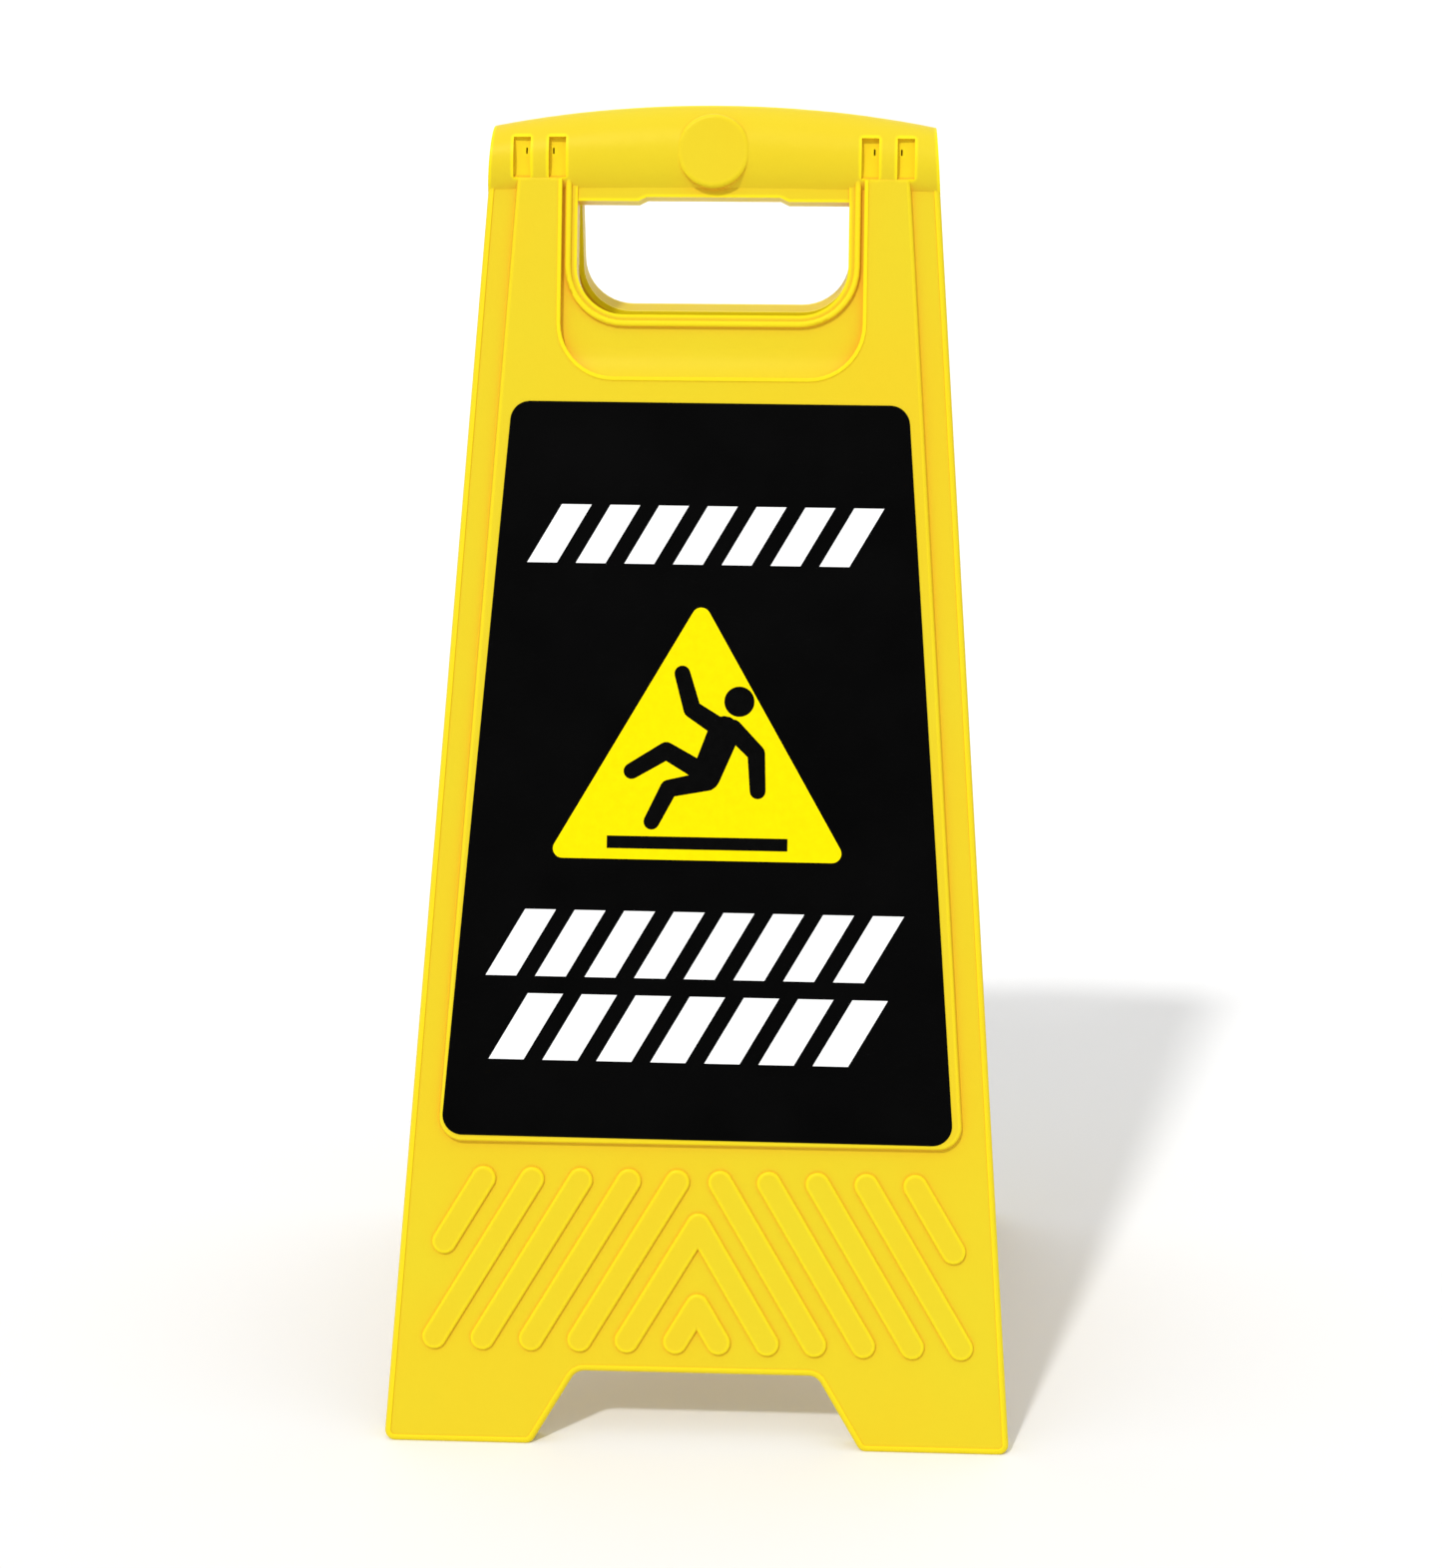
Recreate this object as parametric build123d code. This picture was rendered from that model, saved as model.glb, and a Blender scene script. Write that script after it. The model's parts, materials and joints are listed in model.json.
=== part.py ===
"""A-frame wet floor sign, as it stands open on the floor.

Two moulded polypropylene panels turn on two short hinge pins inside a half-round handle. Each
panel is an open-backed shell: a flat field with a raised plateau for the message, a dished
recess round the hand opening, and chevron ribs above the feet. Each panel is modelled flat in
its own frame and then swung out to where it stands.

Panel frame: X across, Z up along the panel from the foot line, and depth measured outward
along -Y from the plane where the two panels meet when the sign is folded.
Sign frame: +Z up, -Y towards the front panel, origin on the floor below the hinge.
"""

from build123d import *
import math
import os

os.makedirs("parts", exist_ok=True)

# Panel outline
BASE_WIDTH = 300.0
CORNER_WIDTH = 212.0  # across the two top corners
CORNER_HEIGHT = 634.3
PANEL_LENGTH = 644.9  # foot line to the middle of the arched top
FOOT_WIDTH = 71.0
NOTCH_HEIGHT = 35.5
SLANT = 31.0  # degrees from vertical, of the notch sides and the chevron ribs
FOOT_RADIUS = 5.0
NOTCH_RADIUS = 7.0
TOP_CORNER_RADIUS = 1.5

# Depths outward from the folding plane
WALL = 2.5
LIP = 0.5  # back edge of the skirt
FIELD = 12.0
PLATEAU = 15.4
HANDLE = 17.5
EDGE_RADIUS = 2.2
BORDER_WIDTH = 3.0  # raised border round the field, rounding included
BORDER_HEIGHT = 0.6
BEAD_RADIUS = 0.5  # along the inside of the border and the recess's bead
CREST_RADIUS = 1.3  # along the edges of the plateau, the rim and the ribs
STEP_DRAFT = 16.0  # degrees

# Hinge and stance
HALF_ANGLE = 13.5  # each panel's lean from vertical when open
AXIS_HEIGHT = 620.0  # hinge axis, along the panel
STOP_GAP = 0.2  # each panel's top lip to the middle plane, when open

# Message plateau and label
PLATEAU_MARGIN = 13.2
PLATEAU_BOTTOM = 144.3
PLATEAU_CORNER = 12.0
LABEL_BOTTOM = 147.7
LABEL_TOP = 499.6
LABEL_BOTTOM_WIDTH = 245.4
LABEL_TOP_WIDTH = 189.6
LABEL_CORNER = 9.5
LABEL_THICKNESS = 0.25
LABEL_TILT = 0.25  # degrees, how crooked the front label was stuck on

# Hand opening, its rim and the dished recess round it
HOLE_HALF = 65.0
HOLE_BOTTOM = 542.0
HOLE_TOP = 596.4
HOLE_RADIUS = 23.0
RIM_WIDTH = 5.7
RIM_DEPTH = 14.6
RIM_LEDGE = 2.7  # step between the opening and the raised part of the rim
RIM_LEDGE_DEPTH = 12.8
RECESS_HALF = 72.2
RECESS_BOTTOM = 512.0
RECESS_RADIUS = 25.6
DISH_RADIUS = 30.0
BEAD_WIDTH = 2.0  # bead along the recess's edge
BEAD_HEIGHT = 0.6
DISH_START = 526.0  # height where the recess floor starts to curve outward, going down

# Handle
HANDLE_STEPS = 3  # sections on each side of the middle
HANDLE_OVERRUN = 6.0
DISC_RADIUS = 17.6
DISC_HEIGHT = 619.8
DISC_DEPTH = 17.9
DISC_ROOT = 5.0
DISC_EDGE = 2.0
GRIP_HALF = 32.0  # half the length of the finger relief under the handle
GRIP_RELIEF = 2.0
GRIP_SLOPE = 4.0  # run of the relief's sloping ends

# Hinge pockets, knuckles and pins
STATION = 83.2  # middle of each hinge, across from the panel's middle
STRAP_WIDTH = 8.8
POCKET_WIDTH = 8.2
POCKET_BOTTOM = 608.2
POCKET_TOP = 626.2
POCKET_FLOOR = 13.2
POCKET_WALL = 1.8
LEDGE = 1.8  # how far the pocket's foot slopes down to the plateau
POCKET_SLOT_WIDTH = 0.8
POCKET_SLOT_HEIGHT = 3.0
KNUCKLE_WIDTH = 8.2
KNUCKLE_RADIUS = 6.0
EAR_WIDTH = 6.0
SIDE_GAP = 0.3
PIN_RADIUS = 2.0
PIN_HEAD_RADIUS = 3.4
PIN_HEAD = 1.5
PIN_TAIL = 1.0
PIN_CHAMFER = 0.5
RUNNING_GAP = 0.05
PRESS_GAP = 0.02

# Chevron ribs
RIB_WIDTH = 12.0
RIB_HEIGHT = 1.8
RIB_PITCH = 23.3
RIB_FIRST = 10.3
RIB_TOP = 127.3
RIB_REACH = 46.0  # how far across a full rib runs
RIB_COUNT = 4
SHORT_RIB_REACH = 18.5

# Stiffening ribs on the back
STIFFENER = 1.8
STIFFENER_BACK = 5.0
UPRIGHT_SPACING = 58.0
CROSSBAR_HEIGHTS = (62.0, 160.0, 248.0, 336.0, 424.0, 500.0)
HANDLE_RIB_SPACING = 34.0

FAR = 900.0
OVERLAP = 1.0  # how far shapes that join run into each other
TAN_SLANT = math.tan(math.radians(SLANT))
TAN_LEAN = math.tan(math.radians(HALF_ANGLE))
FLARE = (BASE_WIDTH - CORNER_WIDTH) / 2 / CORNER_HEIGHT
BOARD_TOP = HOLE_TOP + 10.0  # inside the handle
RIB_BOTTOM = RIB_TOP - RIB_REACH / TAN_SLANT
STAND_HEIGHT = (AXIS_HEIGHT * math.cos(math.radians(HALF_ANGLE))
                - FIELD * math.sin(math.radians(HALF_ANGLE)))
EAR_OFFSET = KNUCKLE_WIDTH / 2 + SIDE_GAP + EAR_WIDTH / 2


def half_width(height):
    """Half the panel's width at a height up the panel."""
    return BASE_WIDTH / 2 - FLARE * height


def prism(sketch, near, far, taper=0.0):
    """A sketch drawn across and up the panel, extruded outward between two depths."""
    return extrude(Plane.XZ.offset(near) * sketch, amount=far - near, taper=taper)


def side_prism(sketch, middle, width):
    """A sketch drawn outward and up, extruded across the panel about a middle."""
    plane = Plane(origin=(middle - width / 2, 0, 0), x_dir=(0, -1, 0), z_dir=(-1, 0, 0))
    return extrude(plane * sketch, amount=-width)


def edges_at_depth(solid, depth):
    """The edges that lie in the plane at one depth."""
    return ShapeList(e for e in solid.edges()
                     if abs(e.bounding_box().min.Y + depth) < 1e-3
                     and abs(e.bounding_box().max.Y + depth) < 1e-3)


def below_handle(edges):
    """Those of some edges that lie below the foot of the hinge pockets."""
    return [edge for edge in edges if edge.center().Z < POCKET_BOTTOM - OVERLAP]


def round_corners(face, corners):
    """Fillet a face at the corner nearest each (x, y, radius)."""
    for x, y, radius in corners:
        face = fillet(face.vertices().sort_by_distance((x, y, 0))[0], radius)
    return face


def band(low, high):
    """A wide strip between two heights, to cut a sketch to."""
    return Pos(0, (low + high) / 2) * Rectangle(FAR, high - low)


def panel_outline(inset=0.0):
    """The panel's outline: a tapered board with two feet and an arched top."""
    base = BASE_WIDTH / 2
    inner = base - FOOT_WIDTH
    notch = inner - NOTCH_HEIGHT * TAN_SLANT
    corner = CORNER_WIDTH / 2
    edge = Polyline((-corner, CORNER_HEIGHT), (-base, 0), (-inner, 0), (-notch, NOTCH_HEIGHT),
                    (notch, NOTCH_HEIGHT), (inner, 0), (base, 0), (corner, CORNER_HEIGHT))
    arch = ThreePointArc((corner, CORNER_HEIGHT), (0, PANEL_LENGTH), (-corner, CORNER_HEIGHT))
    corners = [(side * x, y, radius) for side in (-1, 1) for x, y, radius in (
        (base, 0, FOOT_RADIUS), (inner, 0, FOOT_RADIUS), (notch, NOTCH_HEIGHT, NOTCH_RADIUS),
        (corner, CORNER_HEIGHT, TOP_CORNER_RADIUS))]
    face = round_corners(make_face(edge + arch), corners)
    return offset(face, -inset) if inset else face


def tub(half, bottom, radius, top):
    """A U-shaped sketch: straight sides, rounded bottom corners, square top."""
    face = Pos(0, (bottom + top) / 2) * Rectangle(2 * half, top - bottom)
    return round_corners(face, [(-half, bottom, radius), (half, bottom, radius)])


def hand_hole(grow=0.0, top=HOLE_TOP):
    """The hand opening, grown outward by a margin, up to a top."""
    return tub(HOLE_HALF + grow, HOLE_BOTTOM - grow, HOLE_RADIUS + grow, top)


def recess(grow=0.0):
    """The outline of the dished recess, open at the top into the handle."""
    return tub(RECESS_HALF + grow, RECESS_BOTTOM - grow, RECESS_RADIUS + grow, AXIS_HEIGHT)


def plateau_outline():
    """The message field with its two pilasters, before the recess is cut out of it."""
    top = POCKET_BOTTOM
    low = half_width(PLATEAU_BOTTOM) - PLATEAU_MARGIN
    high = half_width(top) - PLATEAU_MARGIN
    face = make_face(Polyline((-low, PLATEAU_BOTTOM), (low, PLATEAU_BOTTOM), (high, top),
                              (-high, top), close=True))
    return round_corners(face, [(-low, PLATEAU_BOTTOM, PLATEAU_CORNER),
                                (low, PLATEAU_BOTTOM, PLATEAU_CORNER)])


def dish():
    """What the recess removes, seen from the side: a flat floor that curves out at its foot."""
    lip = FIELD + DISH_RADIUS
    foot = DISH_START - DISH_RADIUS
    diagonal = DISH_RADIUS * math.sqrt(0.5)
    arc = ThreePointArc((FIELD, DISH_START), (lip - diagonal, DISH_START - diagonal), (lip, foot))
    edge = Polyline((lip, foot), (lip, AXIS_HEIGHT), (FIELD, AXIS_HEIGHT), (FIELD, DISH_START))
    return side_prism(make_face(arc + edge), 0, BASE_WIDTH)


def below_floor(lift=0.0):
    """Everything under the floor the open panel stands on, raised by a wall's thickness."""
    rise = lift / math.cos(math.radians(HALF_ANGLE))
    face = make_face(Polyline((-FIELD, 2 * FIELD * TAN_LEAN + rise), (FIELD, rise),
                              (2 * FIELD, rise - FIELD * TAN_LEAN), (2 * FIELD, -FAR),
                              (-FIELD, -FAR), close=True))
    return side_prism(face, 0, FAR)


def past_middle():
    """What the top lip loses so that the two handle halves close up when the sign opens."""
    gap = STOP_GAP / math.cos(math.radians(HALF_ANGLE))
    top = PANEL_LENGTH + WALL
    face = make_face(Polyline((-WALL, AXIS_HEIGHT), (gap, AXIS_HEIGHT),
                              (gap + (top - AXIS_HEIGHT) * TAN_LEAN, top), (-WALL, top), close=True))
    return side_prism(face, 0, FAR)


def arch_height(x):
    """Height of the arched top at a distance across from the panel's middle."""
    rise = PANEL_LENGTH - CORNER_HEIGHT
    radius = (CORNER_WIDTH ** 2 / 4 + rise ** 2) / (2 * rise)
    return PANEL_LENGTH - radius + math.sqrt(radius ** 2 - x ** 2)


def handle_section(x, inset, underside):
    """Half an ellipse across the handle, from its underside up to the arch."""
    top = arch_height(x) - inset
    middle = (top + underside) / 2
    ellipse = Pos(0, middle) * Ellipse(HANDLE - inset, top - middle)
    plane = Plane(origin=(x, 0, 0), x_dir=(0, -1, 0), z_dir=(-1, 0, 0))
    return plane * ellipse


def handle_bar(inset=0.0, underside=HOLE_TOP):
    """The half-round handle across the top, from the hand opening's top to the arch."""
    reach = CORNER_WIDTH / 2 + HANDLE_OVERRUN
    stations = [reach * step / HANDLE_STEPS for step in range(-HANDLE_STEPS, HANDLE_STEPS + 1)]
    bar = loft([handle_section(x, inset, underside) for x in stations])
    near = LIP if inset == 0 else -WALL
    return bar & prism(panel_outline(inset) & band(0, FAR), near, HANDLE + WALL)


def board():
    """The flat field below the handle, solid, inside a low border with rounded edges."""
    front = FIELD + BORDER_HEIGHT
    block = prism(panel_outline(), LIP, front)
    block = fillet(edges_at_depth(block, front), EDGE_RADIUS)
    block -= prism(panel_outline(BORDER_WIDTH), FIELD, front + OVERLAP)
    border = block.faces().sort_by(Axis.Y)[0]
    block = fillet(border.inner_wires()[0].edges(), BEAD_RADIUS) - below_floor()
    return block & prism(band(-WALL, BOARD_TOP), -WALL, HANDLE)


def recess_bead():
    """The low bead along the edge of the recess."""
    line = (recess(BEAD_WIDTH) - recess()) & band(0, POCKET_BOTTOM - LEDGE)
    bead = prism(line, PLATEAU - OVERLAP, PLATEAU + BEAD_HEIGHT)
    return fillet(edges_at_depth(bead, PLATEAU + BEAD_HEIGHT), BEAD_RADIUS)


def raised_field():
    """The plateau that carries the message, with the dished recess cut out of it."""
    slab = prism(plateau_outline(), FIELD - OVERLAP, PLATEAU, STEP_DRAFT)
    slab = fillet(below_handle(edges_at_depth(slab, PLATEAU)), CREST_RADIUS)
    slab += recess_bead()
    return slab - (prism(recess(), FIELD - OVERLAP, PLATEAU + OVERLAP) & dish())


def hand_rim():
    """The rounded rim that stands up round the hand opening, with a ledge inside it."""
    outer = hand_hole(RIM_WIDTH, POCKET_BOTTOM)
    bead = outer - hand_hole(RIM_LEDGE, POCKET_BOTTOM)
    ring = prism(bead, FIELD - WALL, RIM_DEPTH)
    ring = fillet(below_handle(edges_at_depth(ring, RIM_DEPTH)), CREST_RADIUS)
    return ring + prism(outer - hand_hole(0, POCKET_BOTTOM), FIELD - WALL, RIM_LEDGE_DEPTH)


def thumb_disc():
    """The plain round boss in the middle of the handle."""
    disc = prism(Pos(0, DISC_HEIGHT) * Circle(DISC_RADIUS), DISC_ROOT, DISC_DEPTH)
    return fillet(edges_at_depth(disc, DISC_DEPTH), DISC_EDGE)


def rib_line(start, end):
    """One raised rib between two points, with round ends."""
    run = Vector(*end) - Vector(*start)
    middle = (Vector(*end) + Vector(*start)) / 2
    angle = math.degrees(math.atan2(run.Y, run.X))
    return Pos(middle.X, middle.Y) * Rot(0, 0, angle) * SlotCenterToCenter(run.length, RIB_WIDTH)


def chevrons():
    """The slanted ribs above the feet, mirrored about the panel's middle."""
    ribs = []
    for side in (-1, 1):
        for number in range(RIB_COUNT):
            top = RIB_FIRST + number * RIB_PITCH
            ribs.append(rib_line((side * top, RIB_TOP), (side * (top + RIB_REACH), RIB_BOTTOM)))
        top = RIB_FIRST + RIB_COUNT * RIB_PITCH
        low = RIB_TOP - SHORT_RIB_REACH / TAN_SLANT
        ribs.append(rib_line((side * top, RIB_TOP), (side * (top + SHORT_RIB_REACH), low)))
    for reach in (RIB_FIRST + RIB_PITCH, RIB_FIRST):
        apex = (0, RIB_BOTTOM + reach / TAN_SLANT)
        arms = rib_line(apex, (-reach, RIB_BOTTOM)) + rib_line(apex, (reach, RIB_BOTTOM))
        ribs.append(arms)
    solids = []
    for rib in ribs:
        solid = prism(rib, FIELD - OVERLAP, FIELD + RIB_HEIGHT)
        solids.append(fillet(edges_at_depth(solid, FIELD + RIB_HEIGHT), CREST_RADIUS))
    return solids


def hollow():
    """The space inside the shell, behind every wall."""
    low = panel_outline(WALL) & band(-FAR, BOARD_TOP - OVERLAP)
    space = prism(low - hand_hole(WALL, FAR), -WALL, FIELD - WALL) - below_floor(WALL)
    behind = offset(plateau_outline(), -WALL) - recess(WALL)
    space += prism(behind, FIELD - WALL - OVERLAP, PLATEAU - WALL)
    return space + handle_bar(WALL, HOLE_TOP + GRIP_RELIEF + WALL)


def stiffeners(space):
    """The thin ribs across the back, inside the shell."""
    low = CROSSBAR_HEIGHTS[0]
    high = CROSSBAR_HEIGHTS[-1]
    upright = Rectangle(STIFFENER, high - low)
    crossbar = Rectangle(BASE_WIDTH, STIFFENER)
    handle_rib = Rectangle(STIFFENER, PANEL_LENGTH - HOLE_TOP)
    ribs = []
    for number in (-1, 0, 1):
        place = Pos(number * UPRIGHT_SPACING, (low + high) / 2)
        ribs.append(prism(place * upright, STIFFENER_BACK, PLATEAU))
    for height in CROSSBAR_HEIGHTS:
        ribs.append(prism(Pos(0, height) * crossbar, STIFFENER_BACK, PLATEAU))
    for number in (-1.5, -0.5, 0.5, 1.5):
        place = Pos(number * HANDLE_RIB_SPACING, (PANEL_LENGTH + HOLE_TOP) / 2)
        ribs.append(prism(place * handle_rib, LIP + KNUCKLE_RADIUS, HANDLE))
    return [rib & space for rib in ribs]


def hinge_plate(middle, width, space):
    """A plate inside the handle that ends in an eye round the hinge axis."""
    tall = 2 * (PANEL_LENGTH - AXIS_HEIGHT)
    inside = side_prism(Pos(HANDLE / 2 + LIP, AXIS_HEIGHT) * Rectangle(HANDLE, tall), middle, width)
    inside = (inside & space) - past_middle()
    eye = side_prism(Pos(0, AXIS_HEIGHT) * Circle(KNUCKLE_RADIUS), middle, width)
    return inside + eye


def pocket(middle, grow=0.0):
    """One hinge pocket beside a strap, or the box of walls round it; its foot is a ledge."""
    floor = POCKET_FLOOR - grow
    ledge = POCKET_BOTTOM - grow
    face = make_face(Polyline((floor, ledge), (floor, POCKET_TOP + grow), (FAR, POCKET_TOP + grow),
                              (FAR, ledge - LEDGE), (PLATEAU, ledge - LEDGE), close=True))
    return side_prism(face, middle, POCKET_WIDTH + 2 * grow)


def pocket_places():
    """The middle of each of the four hinge pockets."""
    shift = (STRAP_WIDTH + POCKET_WIDTH) / 2
    return [side * STATION + way * shift for side in (-1, 1) for way in (-1, 1)]


def pocket_slot(middle):
    """The small slot in a pocket's floor, on the strap's side."""
    outer = abs(middle) > STATION
    shift = math.copysign(POCKET_WIDTH / 4, -middle if outer else middle)
    slot = Pos(middle + shift, AXIS_HEIGHT) * Rectangle(POCKET_SLOT_WIDTH, POCKET_SLOT_HEIGHT)
    return prism(slot, POCKET_FLOOR - POCKET_WALL - OVERLAP, POCKET_FLOOR + OVERLAP)


def finger_relief():
    """The shallow step cut in the handle's underside for the fingers."""
    low = HOLE_TOP - OVERLAP
    high = HOLE_TOP + GRIP_RELIEF
    end = GRIP_HALF + GRIP_SLOPE
    face = make_face(Polyline((-end, low), (-end, HOLE_TOP), (-GRIP_HALF, high), (GRIP_HALF, high),
                              (end, HOLE_TOP), (end, low), close=True))
    return prism(face, -WALL, HANDLE + WALL)


def outside():
    """The panel's outer shape with its hand opening, before it is hollowed."""
    shape = board() + handle_bar() + raised_field() + thumb_disc()
    for rib in chevrons():
        shape += rib
    return shape - prism(hand_hole(), -WALL, HANDLE + WALL) + hand_rim()


def panel(plates, bore_gap):
    """One moulded panel, flat in its own frame; plates are its hinge plates (offset, width)."""
    space = hollow()
    shell = outside() - space - finger_relief() - past_middle()
    for rib in stiffeners(space):
        shell += rib
    for middle in pocket_places():
        shell += pocket(middle, POCKET_WALL) & handle_bar()
    for side in (-1, 1):
        for shift, width in plates:
            shell += hinge_plate(side * STATION + shift, width, space)
    for middle in pocket_places():
        shell = shell - pocket(middle) - pocket_slot(middle)
    bore = Pos(0, AXIS_HEIGHT) * Circle(PIN_RADIUS + bore_gap)
    return shell - side_prism(bore, 0, 2 * half_width(AXIS_HEIGHT) - 4 * WALL)


def label(tilt=0.0):
    """The printed film on the plateau, turned a little about the middle of its top edge."""
    low = LABEL_BOTTOM_WIDTH / 2
    high = LABEL_TOP_WIDTH / 2
    points = [(-low, LABEL_BOTTOM), (low, LABEL_BOTTOM), (high, LABEL_TOP), (-high, LABEL_TOP)]
    face = make_face(Polyline(*points, close=True))
    face = round_corners(face, [(x, y, LABEL_CORNER) for x, y in points])
    turned = Pos(0, LABEL_TOP) * Rot(0, 0, -tilt) * Pos(0, -LABEL_TOP) * face
    return prism(turned, PLATEAU, PLATEAU + LABEL_THICKNESS)


def hinge_pin(side):
    """A headed pin through one hinge; its head is on the side towards the panel's middle."""
    end = EAR_OFFSET + EAR_WIDTH / 2
    profile = make_face(Polyline(
        (-end - PIN_HEAD, 0), (-end - PIN_HEAD, PIN_HEAD_RADIUS), (-end, PIN_HEAD_RADIUS),
        (-end, PIN_RADIUS), (end + PIN_TAIL - PIN_CHAMFER, PIN_RADIUS),
        (end + PIN_TAIL, PIN_RADIUS - PIN_CHAMFER), (end + PIN_TAIL, 0), close=True))
    pin = Pos(STATION, 0, AXIS_HEIGHT) * revolve(profile, Axis.X)
    return pin if side > 0 else mirror(pin, Plane.YZ)


def stand(part, lean):
    """Swing a piece about the hinge axis and set it at its height above the floor."""
    return Pos(0, 0, STAND_HEIGHT) * Rot(lean, 0, 0) * Pos(0, 0, -AXIS_HEIGHT) * part


def turn_round(part):
    """Turn a piece made as a front one to face the rear."""
    return Rot(0, 0, 180) * part


knuckles = [(0, KNUCKLE_WIDTH)]
ears = [(-EAR_OFFSET, EAR_WIDTH), (EAR_OFFSET, EAR_WIDTH)]
pieces = {
    "front_panel": stand(panel(knuckles, RUNNING_GAP), -HALF_ANGLE),
    "rear_panel": stand(turn_round(panel(ears, PRESS_GAP)), HALF_ANGLE),
    "front_label": stand(label(LABEL_TILT), -HALF_ANGLE),
    "rear_label": stand(turn_round(label()), HALF_ANGLE),
    "hinge_pin_left": stand(hinge_pin(-1), HALF_ANGLE),
    "hinge_pin_right": stand(hinge_pin(1), HALF_ANGLE),
}
for name, piece in pieces.items():
    export_step(piece, f"parts/{name}.step")
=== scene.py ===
"""The look of an open A-frame wet floor sign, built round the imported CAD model."""

import json
import math

import bmesh
import bpy
from mathutils import Matrix, Vector
from mathutils.geometry import delaunay_2d_cdt


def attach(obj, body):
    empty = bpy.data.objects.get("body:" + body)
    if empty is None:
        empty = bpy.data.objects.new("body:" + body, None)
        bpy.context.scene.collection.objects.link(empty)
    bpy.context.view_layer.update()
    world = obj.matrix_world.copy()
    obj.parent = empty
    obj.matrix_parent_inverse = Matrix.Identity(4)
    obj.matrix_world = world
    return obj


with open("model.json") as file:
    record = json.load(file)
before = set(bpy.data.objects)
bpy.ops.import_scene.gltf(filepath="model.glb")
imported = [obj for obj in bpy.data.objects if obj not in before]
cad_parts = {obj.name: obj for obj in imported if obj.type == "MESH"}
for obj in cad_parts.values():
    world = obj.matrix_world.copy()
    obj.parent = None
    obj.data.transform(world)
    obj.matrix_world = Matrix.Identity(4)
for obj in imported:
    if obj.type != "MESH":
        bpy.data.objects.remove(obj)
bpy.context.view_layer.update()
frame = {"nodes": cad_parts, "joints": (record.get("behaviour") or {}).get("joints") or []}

MM = 0.001

# Camera, in metres and degrees
CAMERA_AZIMUTH = 2.75
CAMERA_ELEVATION = 13.76
CAMERA_ROLL = 0.2
CAMERA_DISTANCE = 1.5
CAMERA_TARGET = Vector((0.0072, -0.070, 0.3063))
SENSOR = 36.0  # mm, along the image's long side
LENS = 71.4  # mm

# Studio, in metres and degrees
FLOOR_NEAR = -12.0
FLOOR_FAR = 5.0
FLOOR_HALF = 14.0
WALL_HEIGHT = 6.0
COVE_RADIUS = 1.5
FLOOR_SHADE = 0.81
HORIZON_STRENGTH = 0.75
HORIZON_FALL = 8.0
SIDE_STRENGTH = 0.4
TOP_STRENGTH = 1.35
KEY_STRENGTH = 1.7
KEY_SPREAD = 4.0
KEY_AZIMUTH = 21.0  # to the left of the viewer
KEY_ELEVATION = 45.0

# Colours in linear light; a pair is what the clouds of a surface wander between
PLASTIC = ((0.735, 0.53, 0.017), (0.70, 0.56, 0.019))
# painted shade: a warmer orange laid into corners and hollows, where less of the view is open
PLASTIC_PAINTED_SHADE = (0.78, 0.435, 0.022)
# painted highlight: a lighter yellow laid along the outward edges, where they would catch the light
PLASTIC_PAINTED_HIGHLIGHT = (0.93, 0.79, 0.004)
PLASTIC_GLOSS = (1.0, 0.9, 0.45)
FILM = ((0.0004, 0.0004, 0.0004), (0.0010, 0.0010, 0.0010))
WHITE_INK = ((0.84, 0.84, 0.84), (0.88, 0.88, 0.88))
YELLOW_INK = ((0.84, 0.68, 0.0), (0.88, 0.72, 0.0))
BLACK_INK = ((0.0006, 0.0006, 0.0006), (0.0014, 0.0014, 0.0014))
STEEL = ((0.50, 0.50, 0.52), (0.68, 0.68, 0.70))

# Patterns of the materials, in metres
NOISE_LOW = 0.3  # nearly all of a noise lies between these two
NOISE_HIGH = 0.7
VIEW_SAMPLES = 12  # rays for each look at how far a spot is closed in
CORNER_REACH = 0.05
EDGE_REACH = 0.002
GRAIN_DEPTH = 0.000008

# Stance of the panels, from the hinge joint
HINGE = Vector(frame["joints"][0]["pos_m"])
LEAN = math.radians(max(frame["joints"][0]["range_deg"]) / 2)
AXIS_HEIGHT = 620.0  # mm along the panel, from its foot line to the hinge axis

# Labels and their print, in millimetres and degrees
LABEL_FACE = 15.65  # outward from the folding plane
LABEL_TOP = 499.6
LABEL_TILT = 0.25  # the front label only
INK = 0.06  # thickness of one printed layer
STRIPE_ROWS = (  # count, middle, width, foot, height
    (7, -1.0, 170.2, 422.5, 28.0),
    (8, -2.6, 199.6, 224.6, 32.0),
    (7, -5.0, 190.5, 184.5, 31.8),
)
STRIPE_GAP = 9.0
STRIPE_LEAN = 30.0  # from upright
TRIANGLE_MIDDLE = -2.2
TRIANGLE_HALF = 72.3
TRIANGLE_FOOT = 281.4
TRIANGLE_TOP = 406.6
TRIANGLE_RADIUS = 4.5
GROUND_HALF = 43.2
GROUND_FOOT = 286.5
GROUND_TOP = 292.5
HEAD = (19.0, 357.5)
HEAD_RADIUS = 7.2
SHOULDER = (12.0, 343.0)
HIP = (3.5, 321.5)
TORSO_RADII = (7.6, 7.0)
LIMB_RADII = (4.6, 4.2, 3.8)  # root, middle, tip
LIMBS = (
    ((9.0, 345.5), (-3.5, 353.5), (-8.5, 370.5)),
    ((16.0, 344.5), (27.5, 333.0), (28.5, 315.0)),
    ((2.0, 323.5), (-15.5, 333.5), (-32.0, 323.5)),
    ((2.5, 319.0), (-14.0, 315.5), (-22.0, 299.5)),
)

# Filling outlines with faces
INSIDE_ONLY = 1  # the mode of delaunay_2d_cdt that keeps what lies inside them
MERGE_GAP = 0.00001  # mm


# ---------------------------------------------------------------- material helpers

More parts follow.
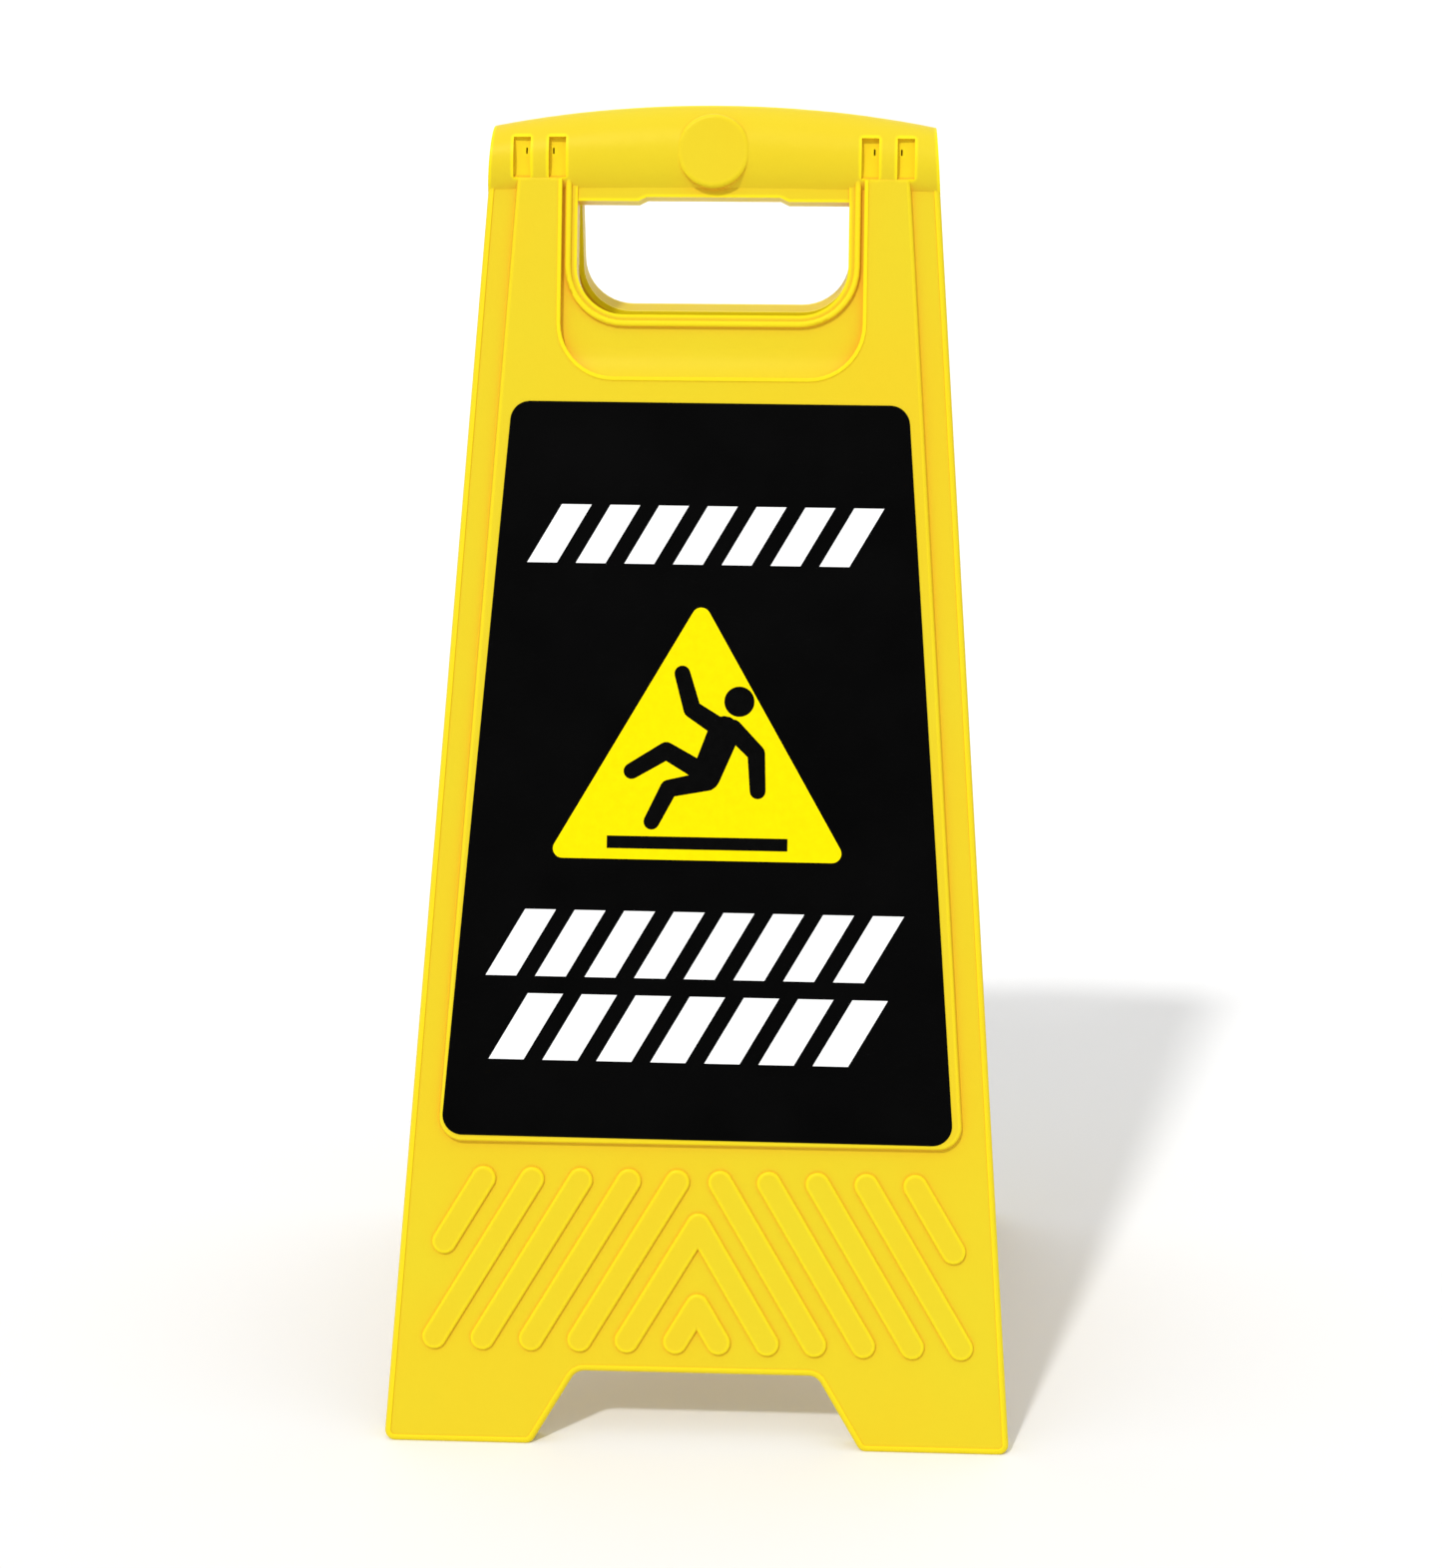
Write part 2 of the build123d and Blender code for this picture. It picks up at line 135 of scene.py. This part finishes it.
def new_material(name, specular):
    """A material whose look is its Principled shader; returns (material, shader, object place)."""
    material = bpy.data.materials.new(name)
    material.use_nodes = True
    nodes = material.node_tree.nodes
    shader = nodes["Principled BSDF"]
    shader.inputs["Specular IOR Level"].default_value = specular
    place = nodes.new("ShaderNodeTexCoord").outputs["Object"]
    return material, shader, place


def noise(material, place, scale, detail, low, high):
    """A 3-D noise spread over the range low to high."""
    tree = material.node_tree
    texture = tree.nodes.new("ShaderNodeTexNoise")
    texture.inputs["Scale"].default_value = scale
    texture.inputs["Detail"].default_value = detail
    tree.links.new(place, texture.inputs["Vector"])
    spread = tree.nodes.new("ShaderNodeMapRange")
    spread.inputs["From Min"].default_value = NOISE_LOW
    spread.inputs["From Max"].default_value = NOISE_HIGH
    spread.inputs["To Min"].default_value = low
    spread.inputs["To Max"].default_value = high
    tree.links.new(texture.outputs["Fac"], spread.inputs["Value"])
    return spread.outputs["Result"]


def blend(material, factor, first, second):
    """A colour between two colours."""
    tree = material.node_tree
    ramp = tree.nodes.new("ShaderNodeValToRGB")
    ramp.color_ramp.elements[0].color = (*first, 1)
    ramp.color_ramp.elements[1].color = (*second, 1)
    tree.links.new(factor, ramp.inputs["Fac"])
    return ramp.outputs["Color"]


def closed_in(material, inside, reach, clear, closed, share):
    """Rises from 0 to a share where less of the view over a reach is open, clear to closed.

    Outside the plastic that picks out the corners, and inside it the outward edges.
    """
    tree = material.node_tree
    view = tree.nodes.new("ShaderNodeAmbientOcclusion")
    view.inside = inside
    view.only_local = True
    view.samples = VIEW_SAMPLES
    view.inputs["Distance"].default_value = reach
    spread = tree.nodes.new("ShaderNodeMapRange")
    spread.inputs["From Min"].default_value = clear
    spread.inputs["From Max"].default_value = closed
    spread.inputs["To Max"].default_value = share
    tree.links.new(view.outputs["AO"], spread.inputs["Value"])
    return spread.outputs["Result"]


def overlay(material, factor, below, colour):
    """A plain colour laid over another one by a factor."""
    tree = material.node_tree
    mix = tree.nodes.new("ShaderNodeMix")
    mix.data_type = "RGBA"
    socket = {item.identifier: item for item in mix.inputs}
    tree.links.new(factor, socket["Factor_Float"])
    tree.links.new(below, socket["A_Color"])
    socket["B_Color"].default_value = (*colour, 1)
    return {item.identifier: item for item in mix.outputs}["Result_Color"]


def bump(material, shader, height, depth):
    """Roughens the shader's surface by a height pattern, depth in metres."""
    tree = material.node_tree
    node = tree.nodes.new("ShaderNodeBump")
    node.inputs["Distance"].default_value = depth
    tree.links.new(height, node.inputs["Height"])
    tree.links.new(node.outputs["Normal"], shader.inputs["Normal"])


# ---------------------------------------------------------------- materials

def yellow_plastic():
    """Moulded polypropylene: faint flow clouds and a fine grain, with painted shade as a warm orange
    in the corners and painted highlights as a light yellow along the edges.
    """
    material, shader, place = new_material("yellow_plastic", specular=0.15)
    link = material.node_tree.links.new
    clouds = noise(material, place, scale=9.0, detail=3.0, low=0.0, high=1.0)
    # the corners mask places the painted shade
    corners = closed_in(material, inside=False, reach=CORNER_REACH, clear=0.95, closed=0.45, share=1.0)
    # the edges mask places the painted highlight
    edges = closed_in(material, inside=True, reach=EDGE_REACH, clear=0.97, closed=0.78, share=0.6)
    grain = noise(material, place, scale=1400.0, detail=2.0, low=0.0, high=1.0)
    wear = noise(material, place, scale=35.0, detail=5.0, low=0.34, high=0.42)
    shade = blend(material, clouds, *PLASTIC)
    shade = overlay(material, corners, shade, PLASTIC_PAINTED_SHADE)
    shade = overlay(material, edges, shade, PLASTIC_PAINTED_HIGHLIGHT)
    link(shade, shader.inputs["Base Color"])
    link(wear, shader.inputs["Roughness"])
    bump(material, shader, grain, GRAIN_DEPTH)
    shader.inputs["Specular Tint"].default_value = (*PLASTIC_GLOSS, 1)
    return material


def black_film():
    """Printed vinyl film."""
    material, shader, place = new_material("black_film", specular=0.03)
    link = material.node_tree.links.new
    clouds = noise(material, place, scale=30.0, detail=3.0, low=0.0, high=1.0)
    wear = noise(material, place, scale=25.0, detail=4.0, low=0.35, high=0.45)
    link(blend(material, clouds, *FILM), shader.inputs["Base Color"])
    link(wear, shader.inputs["Roughness"])
    return material


def ink(name, colours):
    """Screen-printed ink, a little uneven."""
    material, shader, place = new_material(name, specular=0.03)
    link = material.node_tree.links.new
    cover = noise(material, place, scale=260.0, detail=6.0, low=0.0, high=1.0)
    wear = noise(material, place, scale=120.0, detail=3.0, low=0.45, high=0.55)
    link(blend(material, cover, *colours), shader.inputs["Base Color"])
    link(wear, shader.inputs["Roughness"])
    return material


def pin_steel():
    """Zinc-plated steel."""
    material, shader, place = new_material("pin_steel", specular=0.5)
    link = material.node_tree.links.new
    shader.inputs["Metallic"].default_value = 1.0
    spangle = noise(material, place, scale=900.0, detail=4.0, low=0.0, high=1.0)
    wear = noise(material, place, scale=600.0, detail=3.0, low=0.25, high=0.40)
    link(blend(material, spangle, *STEEL), shader.inputs["Base Color"])
    link(wear, shader.inputs["Roughness"])
    return material


def studio_white():
    """The paper that the sign stands on."""
    material, shader, _ = new_material("studio_white", specular=0.0)
    shader.inputs["Roughness"].default_value = 1.0
    shader.inputs["Base Color"].default_value = (FLOOR_SHADE, FLOOR_SHADE, FLOOR_SHADE, 1)
    return material


# ---------------------------------------------------------------- flat outlines, in millimetres

def arc(centre, radius, start, end, steps=8):
    """Points along an arc; angles in degrees, the end included."""
    points = []
    for step in range(steps + 1):
        angle = math.radians(start + (end - start) * step / steps)
        points.append((centre[0] + radius * math.cos(angle), centre[1] + radius * math.sin(angle)))
    return points


def disc_outline(centre, radius, steps=36):
    """A disc, without the end point that would repeat its start."""
    return arc(centre, radius, 0, 360, steps)[:-1]


def triangle_outline():
    """The warning triangle with its round corners."""
    slope = math.atan2(TRIANGLE_TOP - TRIANGLE_FOOT, TRIANGLE_HALF)
    turn = math.degrees(slope)
    inset = TRIANGLE_HALF - TRIANGLE_RADIUS / math.tan(slope / 2)
    low = TRIANGLE_FOOT + TRIANGLE_RADIUS
    high = TRIANGLE_TOP - TRIANGLE_RADIUS / math.cos(slope)
    return (arc((TRIANGLE_MIDDLE + inset, low), TRIANGLE_RADIUS, -90, 90 - turn)
            + arc((TRIANGLE_MIDDLE, high), TRIANGLE_RADIUS, 90 - turn, 90 + turn)
            + arc((TRIANGLE_MIDDLE - inset, low), TRIANGLE_RADIUS, 90 + turn, 270))


def bar_outline(start, end, start_radius, end_radius):
    """A bar with round ends."""
    heading = math.degrees(math.atan2(end[1] - start[1], end[0] - start[0]))
    return (arc(end, end_radius, heading - 90, heading + 90)
            + arc(start, start_radius, heading + 90, heading + 270))


def stripe_outlines():
    """Rows of plain leaning stripes."""
    outlines = []
    for count, middle, width, foot, height in STRIPE_ROWS:
        shift = height * math.tan(math.radians(STRIPE_LEAN))
        pitch = (width - shift + STRIPE_GAP) / count
        for number in range(count):
            left = middle - width / 2 + number * pitch
            right = left + pitch - STRIPE_GAP
            outlines.append([(left, foot), (right, foot), (right + shift, foot + height),
                             (left + shift, foot + height)])
    return outlines


def figure_outlines():
    """A slipping figure of a disc and round-ended bars, over a ground line."""
    root, bent, tip = LIMB_RADII
    outlines = [disc_outline(HEAD, HEAD_RADIUS), bar_outline(SHOULDER, HIP, *TORSO_RADII)]
    for start, bend, end in LIMBS:
        outlines.append(bar_outline(start, bend, root, bent))
        outlines.append(bar_outline(bend, end, bent, tip))
    outlines.append([(-GROUND_HALF, GROUND_FOOT), (GROUND_HALF, GROUND_FOOT),
                     (GROUND_HALF, GROUND_TOP), (-GROUND_HALF, GROUND_TOP)])
    return [[(x + TRIANGLE_MIDDLE, z) for x, z in outline] for outline in outlines]


# ---------------------------------------------------------------- printed layers

def label_matrix(side):
    """From a label's flat frame (x across, y outward, z up, millimetres) to the sign."""
    outward = Matrix.Diagonal((1, -1, 1, 1))
    top = Matrix.Translation((0, 0, LABEL_TOP))
    tilt = Matrix.Rotation(math.radians(LABEL_TILT), 4, "Y") if side == "front" else Matrix()
    drop = Matrix.Translation((0, 0, -AXIS_HEIGHT))
    lean = Matrix.Rotation(-LEAN, 4, "X")
    turn = Matrix.Rotation(0 if side == "front" else math.pi, 4, "Z")
    flat = turn @ Matrix.Translation(HINGE) @ Matrix.Scale(MM, 4) @ lean @ drop @ outward
    return flat @ top @ tilt @ top.inverted()


def united(outlines):
    """The united shape of flat outlines, as its points and the faces between them."""
    points = [Vector(point) for outline in outlines for point in outline]
    loops = []
    first = 0
    for outline in outlines:
        loops.append(list(range(first, first + len(outline))))
        first += len(outline)
    points, _, faces, _, _, _ = delaunay_2d_cdt(points, [], loops, INSIDE_ONLY, MERGE_GAP)
    return points, faces


def printed_layer(name, outlines, depth, side, material):
    """A thin solid in the united shape of the outlines, on one side's label."""
    points, faces = united(outlines)
    mesh = bmesh.new()
    corners = [mesh.verts.new((point.x, depth, point.y)) for point in points]
    for face in faces:
        mesh.faces.new([corners[index] for index in face])
    bmesh.ops.dissolve_limit(mesh, angle_limit=0.001, verts=mesh.verts, edges=mesh.edges)
    raised = bmesh.ops.extrude_face_region(mesh, geom=mesh.faces[:])
    top = [part for part in raised["geom"] if isinstance(part, bmesh.types.BMVert)]
    bmesh.ops.translate(mesh, vec=(0, INK, 0), verts=top)
    mesh.transform(label_matrix(side))
    bmesh.ops.recalc_face_normals(mesh, faces=mesh.faces)
    data = bpy.data.meshes.new(name)
    mesh.to_mesh(data)
    mesh.free()
    data.materials.append(material)
    layer = bpy.data.objects.new(name, data)
    bpy.context.scene.collection.objects.link(layer)
    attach(layer, side)


def print_labels():
    """The stripes, the triangle and the figure on both labels."""
    white = ink("white_ink", WHITE_INK)
    yellow = ink("yellow_ink", YELLOW_INK)
    black = ink("black_ink", BLACK_INK)
    for side in ("front", "rear"):
        printed_layer(f"{side}_stripes", stripe_outlines(), LABEL_FACE, side, white)
        printed_layer(f"{side}_triangle", [triangle_outline()], LABEL_FACE, side, yellow)
        printed_layer(f"{side}_figure", figure_outlines(), LABEL_FACE + INK, side, black)


# ---------------------------------------------------------------- studio and camera

def backdrop():
    """A white floor that curves up into a wall far behind the sign."""
    turn = arc((FLOOR_FAR, COVE_RADIUS), COVE_RADIUS, -90, 0, steps=16)
    section = [(FLOOR_NEAR, 0.0), *turn, (FLOOR_FAR + COVE_RADIUS, WALL_HEIGHT)]
    points = [(x, y, z) for y, z in section for x in (-FLOOR_HALF, FLOOR_HALF)]
    faces = [(2 * n, 2 * n + 1, 2 * n + 3, 2 * n + 2) for n in range(len(section) - 1)]
    data = bpy.data.meshes.new("backdrop")
    data.from_pydata(points, [], faces)
    data.materials.append(studio_white())
    for face in data.polygons:
        face.use_smooth = True
    sweep = bpy.data.objects.new("backdrop", data)
    bpy.context.scene.collection.objects.link(sweep)


def sky():
    """A pale sky: bright along the horizon, overhead and to both sides, with dimmer gaps."""
    world = bpy.data.worlds.new("sky")
    world.use_nodes = True
    nodes = world.node_tree.nodes
    link = world.node_tree.links.new
    ray = nodes.new("ShaderNodeSeparateXYZ")
    link(nodes.new("ShaderNodeTexCoord").outputs["Generated"], ray.inputs["Vector"])

    def math_node(operation, *values):
        """The output of one math node; each value is a number or another node's output."""
        node = nodes.new("ShaderNodeMath")
        node.operation = operation
        for value, socket in zip(values, node.inputs):
            if isinstance(value, float):
                socket.default_value = value
            else:
                link(value, socket)
        return node.outputs["Value"]

    height = math_node("MULTIPLY", ray.outputs["Z"], ray.outputs["Z"])
    across = math_node("MULTIPLY", ray.outputs["X"], ray.outputs["X"])
    low = math_node("POWER", math_node("SUBTRACT", 1.0, height), HORIZON_FALL)
    total = math_node("MULTIPLY", low, HORIZON_STRENGTH)
    total = math_node("MULTIPLY_ADD", across, SIDE_STRENGTH, total)
    total = math_node("MULTIPLY_ADD", height, TOP_STRENGTH, total)
    nodes["Background"].inputs["Color"].default_value = (1, 1, 1, 1)
    link(total, nodes["Background"].inputs["Strength"])
    bpy.context.scene.world = world


def key_light():
    """One broad key from the front left."""
    lamp = bpy.data.lights.new("key", "SUN")
    lamp.energy = KEY_STRENGTH
    lamp.angle = math.radians(KEY_SPREAD)
    key = bpy.data.objects.new("key", lamp)
    key.rotation_euler = (math.radians(90 - KEY_ELEVATION), 0, math.radians(-KEY_AZIMUTH))
    bpy.context.scene.collection.objects.link(key)


def camera():
    """The viewer's place, low in front of the sign."""
    azimuth = math.radians(CAMERA_AZIMUTH)
    elevation = math.radians(CAMERA_ELEVATION)
    turn = Matrix.Rotation(azimuth, 4, "Z") @ Matrix.Rotation(math.pi / 2 - elevation, 4, "X")
    roll = Matrix.Rotation(math.radians(CAMERA_ROLL), 4, "Z")
    back = Matrix.Translation((0, 0, CAMERA_DISTANCE))
    data = bpy.data.cameras.new("camera")
    data.sensor_width = SENSOR
    data.lens = LENS
    eye = bpy.data.objects.new("camera", data)
    eye.matrix_world = Matrix.Translation(CAMERA_TARGET) @ turn @ back @ roll
    bpy.context.scene.collection.objects.link(eye)
    bpy.context.scene.camera = eye


# ---------------------------------------------------------------- the scene

def dress(names, material):
    """Gives CAD nodes their material."""
    for name in names:
        data = frame["nodes"][name].data
        data.materials.clear()
        data.materials.append(material)


dress(("front_panel", "rear_panel"), yellow_plastic())
dress(("front_label", "rear_label"), black_film())
dress(("hinge_pin_left", "hinge_pin_right"), pin_steel())
print_labels()
backdrop()
sky()
key_light()
camera()
bpy.context.scene.view_settings.view_transform = "Standard"
